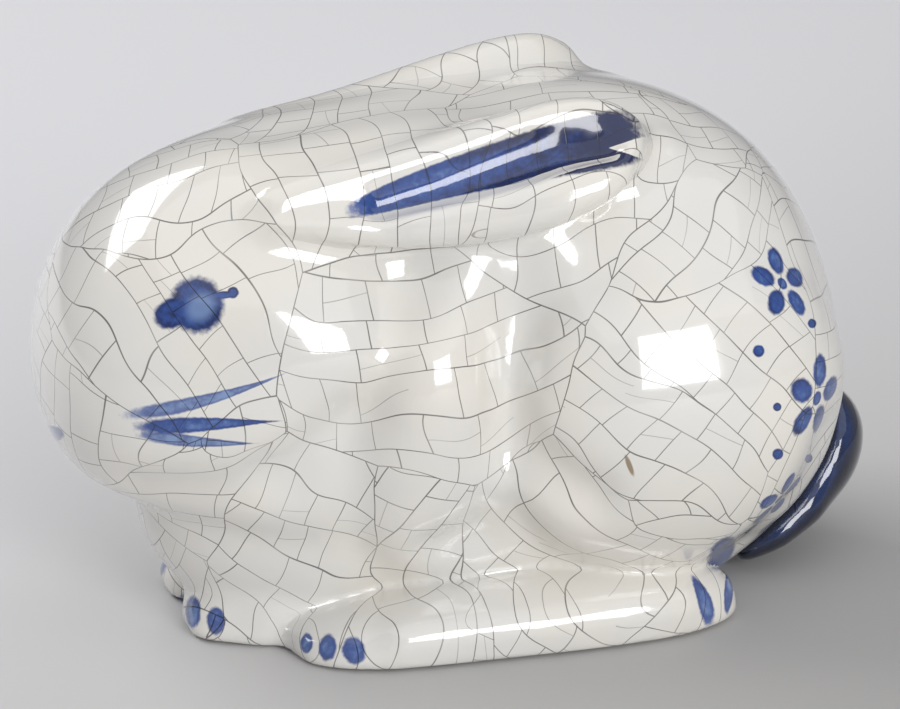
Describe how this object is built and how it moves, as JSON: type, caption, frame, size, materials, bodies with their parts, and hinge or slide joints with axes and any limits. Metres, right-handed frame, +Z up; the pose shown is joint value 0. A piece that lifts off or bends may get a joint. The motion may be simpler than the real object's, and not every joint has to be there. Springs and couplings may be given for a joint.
{
  "type": "rabbit_figurine",
  "caption": "Crouching rabbit figurine in crackle-glazed ceramic, with ears laid back, cobalt brushwork and a dark blue tail",
  "frame": {"origin": "on the standing surface, under the middle of the overall length and width", "axes": "the nose points along -X and the tail along +X, the rabbit's left is -Y, +Z is up"},
  "size_m": [0.1319, 0.075, 0.0829],
  "materials": {
    "crackle_glaze": "gloss",
    "blue_glaze": "gloss"
  },
  "bodies": {
    "root": {"body_shell": "crackle_glaze", "left_ear": "crackle_glaze", "right_ear": "crackle_glaze", "left_hind_foot": "crackle_glaze", "right_hind_foot": "crackle_glaze", "left_fore_paw": "crackle_glaze", "right_fore_paw": "crackle_glaze", "tail": "blue_glaze"}
  },
  "joints": []
}
